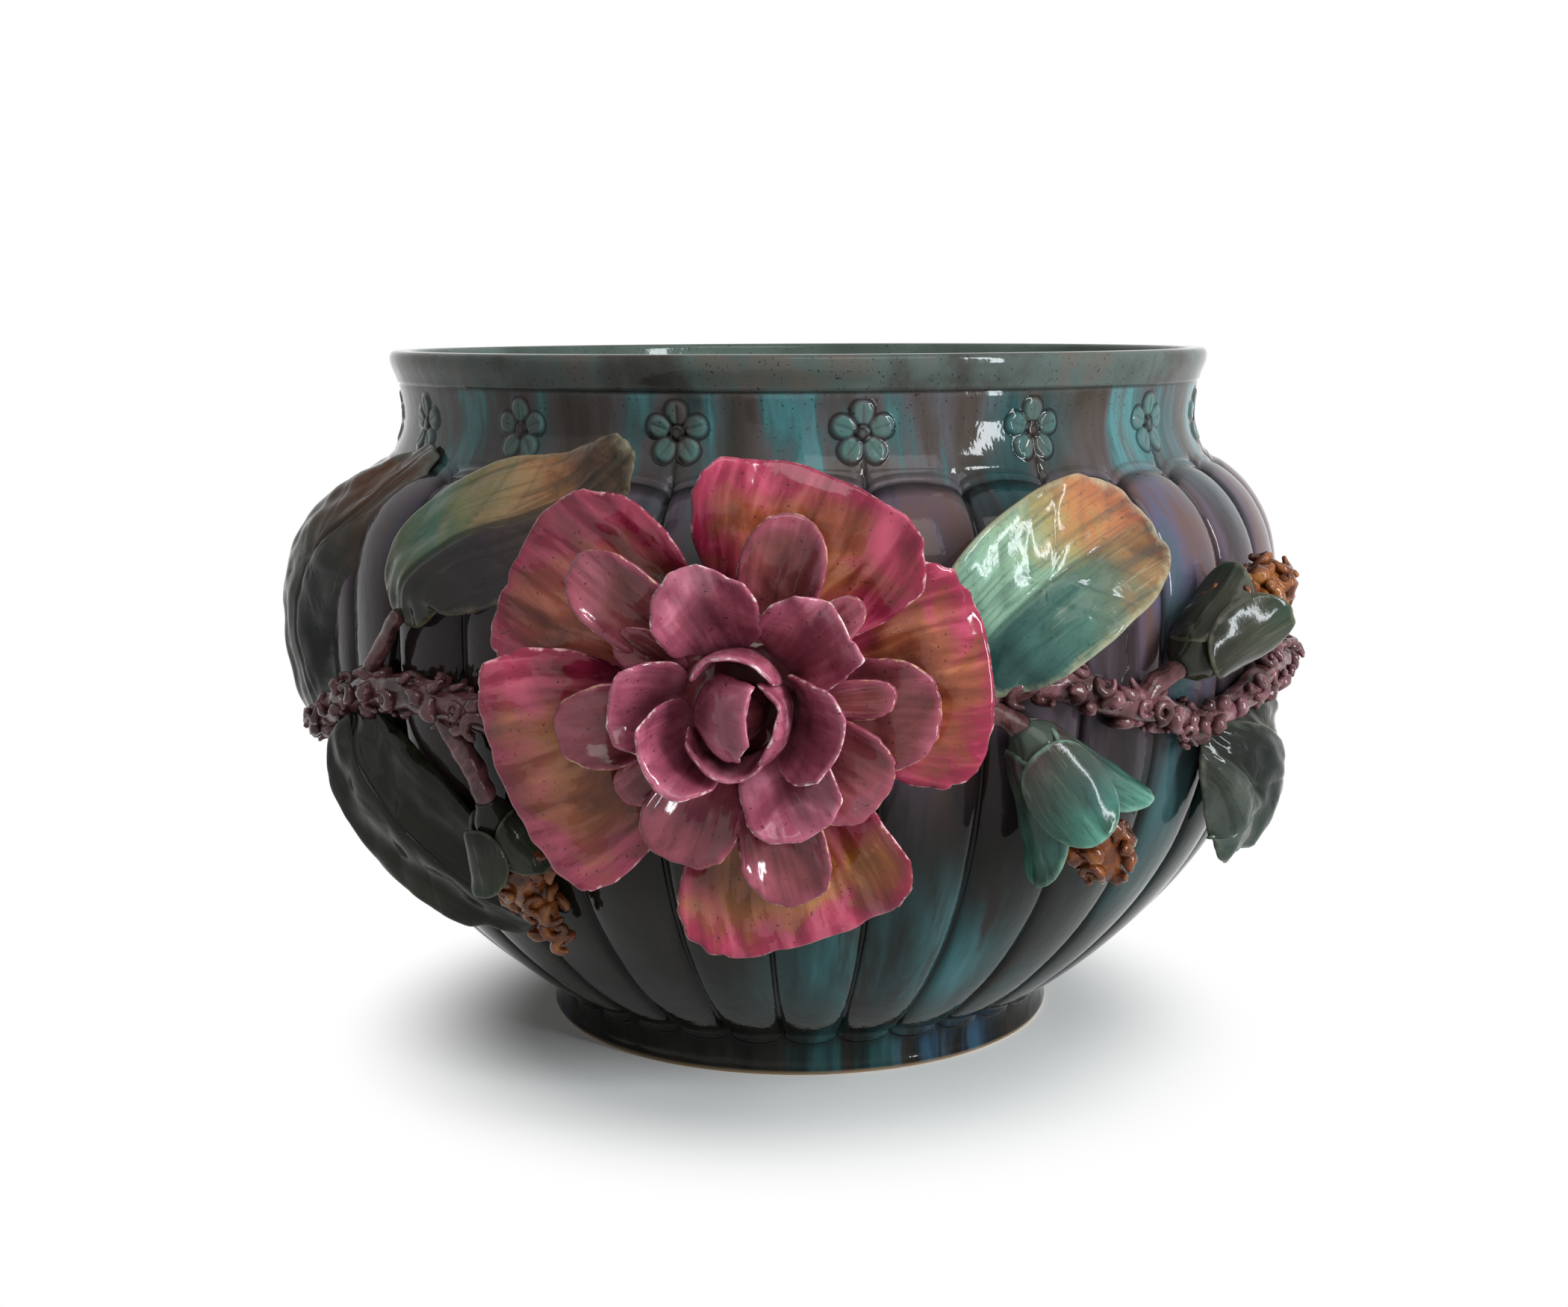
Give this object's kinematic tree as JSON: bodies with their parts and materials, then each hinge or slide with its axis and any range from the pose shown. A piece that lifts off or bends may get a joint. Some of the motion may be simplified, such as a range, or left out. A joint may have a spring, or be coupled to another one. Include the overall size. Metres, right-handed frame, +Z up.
{
  "type": "jardiniere",
  "caption": "Round glazed jardiniere with upright lobes and an applied flower, leaves, buds and a gnarled branch; an open bowl on a plain foot ring, for a plant pot.",
  "frame": {"origin": "under the middle of the whole piece, applied flowers and branch included, on the surface that it stands on; the bowl's own axis is 30.9 mm behind it", "axes": "+Z up, -Y towards the viewer, the way the flower looks, +X to the right of who faces the flower"},
  "size_m": [0.4198, 0.4634, 0.2825],
  "materials": {
    "bowl_glaze": "gloss",
    "crimson_glaze": "gloss",
    "mauve_glaze": "gloss",
    "rose_glaze": "gloss",
    "bark_glaze": "gloss",
    "leaf_glaze": "gloss",
    "mint_glaze": "gloss",
    "olive_glaze": "gloss",
    "amber_glaze": "gloss"
  },
  "bodies": {
    "root": {"bowl": "bowl_glaze", "flower_pad": "mauve_glaze", "branch_left": "bark_glaze", "branch_right": "bark_glaze", "branch_tip": "bark_glaze", "petal_outer_lower_left": "crimson_glaze", "petal_outer_top": "crimson_glaze", "petal_outer_bottom": "crimson_glaze", "petal_outer_upper_left": "crimson_glaze", "petal_outer_right": "crimson_glaze", "petal_middle_top": "mauve_glaze", "petal_middle_upper_left": "mauve_glaze", "petal_middle_left": "mauve_glaze", "petal_middle_bottom_left": "mauve_glaze", "petal_middle_bottom": "mauve_glaze", "petal_middle_lower_right": "mauve_glaze", "petal_middle_right": "mauve_glaze", "petal_small_right": "mauve_glaze", "petal_small_upper_right": "mauve_glaze", "petal_small_lower_left": "mauve_glaze", "petal_small_upper_left": "mauve_glaze", "flower_heart": "mauve_glaze", "petal_heart_left": "rose_glaze", "petal_heart_right": "rose_glaze", "petal_inner_top": "rose_glaze", "petal_inner_bottom": "rose_glaze", "petal_inner_right": "rose_glaze", "petal_inner_lower_left": "rose_glaze", "petal_rose_left": "rose_glaze", "petal_rose_top": "rose_glaze", "petal_rose_upper_right": "rose_glaze", "petal_rose_bottom_right": "rose_glaze", "leaf_right": "mint_glaze", "leaf_stalk_left": "bark_glaze", "leaf_upper_left": "leaf_glaze", "leaf_far_left": "leaf_glaze", "leaf_lower_left": "olive_glaze", "leaf_right_lower": "leaf_glaze", "leaf_right_rear": "olive_glaze", "bud_lower_right_stalk": "bark_glaze", "bud_lower_right_cup": "leaf_glaze", "bud_lower_right_stamens": "amber_glaze", "bud_lower_right_sepal_1": "leaf_glaze", "bud_lower_right_sepal_2": "leaf_glaze", "bud_lower_right_sepal_3": "leaf_glaze", "bud_upper_right_stalk": "bark_glaze", "bud_upper_right_cup": "leaf_glaze", "bud_upper_right_stamens": "amber_glaze", "bud_upper_right_sepal_1": "leaf_glaze", "bud_upper_right_sepal_2": "leaf_glaze", "bud_upper_right_sepal_3": "leaf_glaze", "bud_left_stalk": "bark_glaze", "bud_left_cup": "leaf_glaze", "bud_left_stamens": "amber_glaze", "bud_left_sepal_1": "leaf_glaze", "bud_left_sepal_2": "leaf_glaze", "bud_left_sepal_3": "leaf_glaze"}
  },
  "joints": []
}
